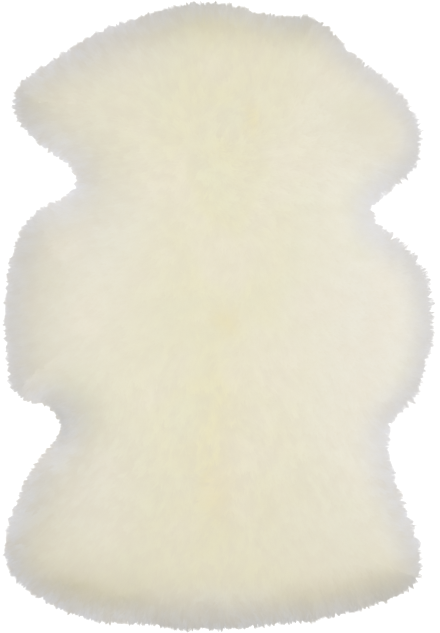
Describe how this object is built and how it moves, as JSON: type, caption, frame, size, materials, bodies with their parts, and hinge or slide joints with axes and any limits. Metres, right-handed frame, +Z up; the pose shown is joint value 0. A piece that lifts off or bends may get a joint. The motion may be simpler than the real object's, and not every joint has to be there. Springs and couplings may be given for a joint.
{
  "type": "sheepskin rug",
  "caption": "Whole-pelt sheepskin rug, wool side up: a thick ivory pile with a lobed outline that lies flat on a floor.",
  "frame": {"origin": "on the floor, below the middle of the rug's footprint", "axes": "+Z up, out of the wool; +Y along the back towards the neck; +X to the right as seen from above"},
  "size_m": [0.6572, 0.953, 0.0506],
  "materials": {
    "wool": "soft ivory fleece, combed outwards",
    "hide": "matt suede"
  },
  "bodies": {
    "root": {"sheepskin": "wool"}
  },
  "joints": []
}
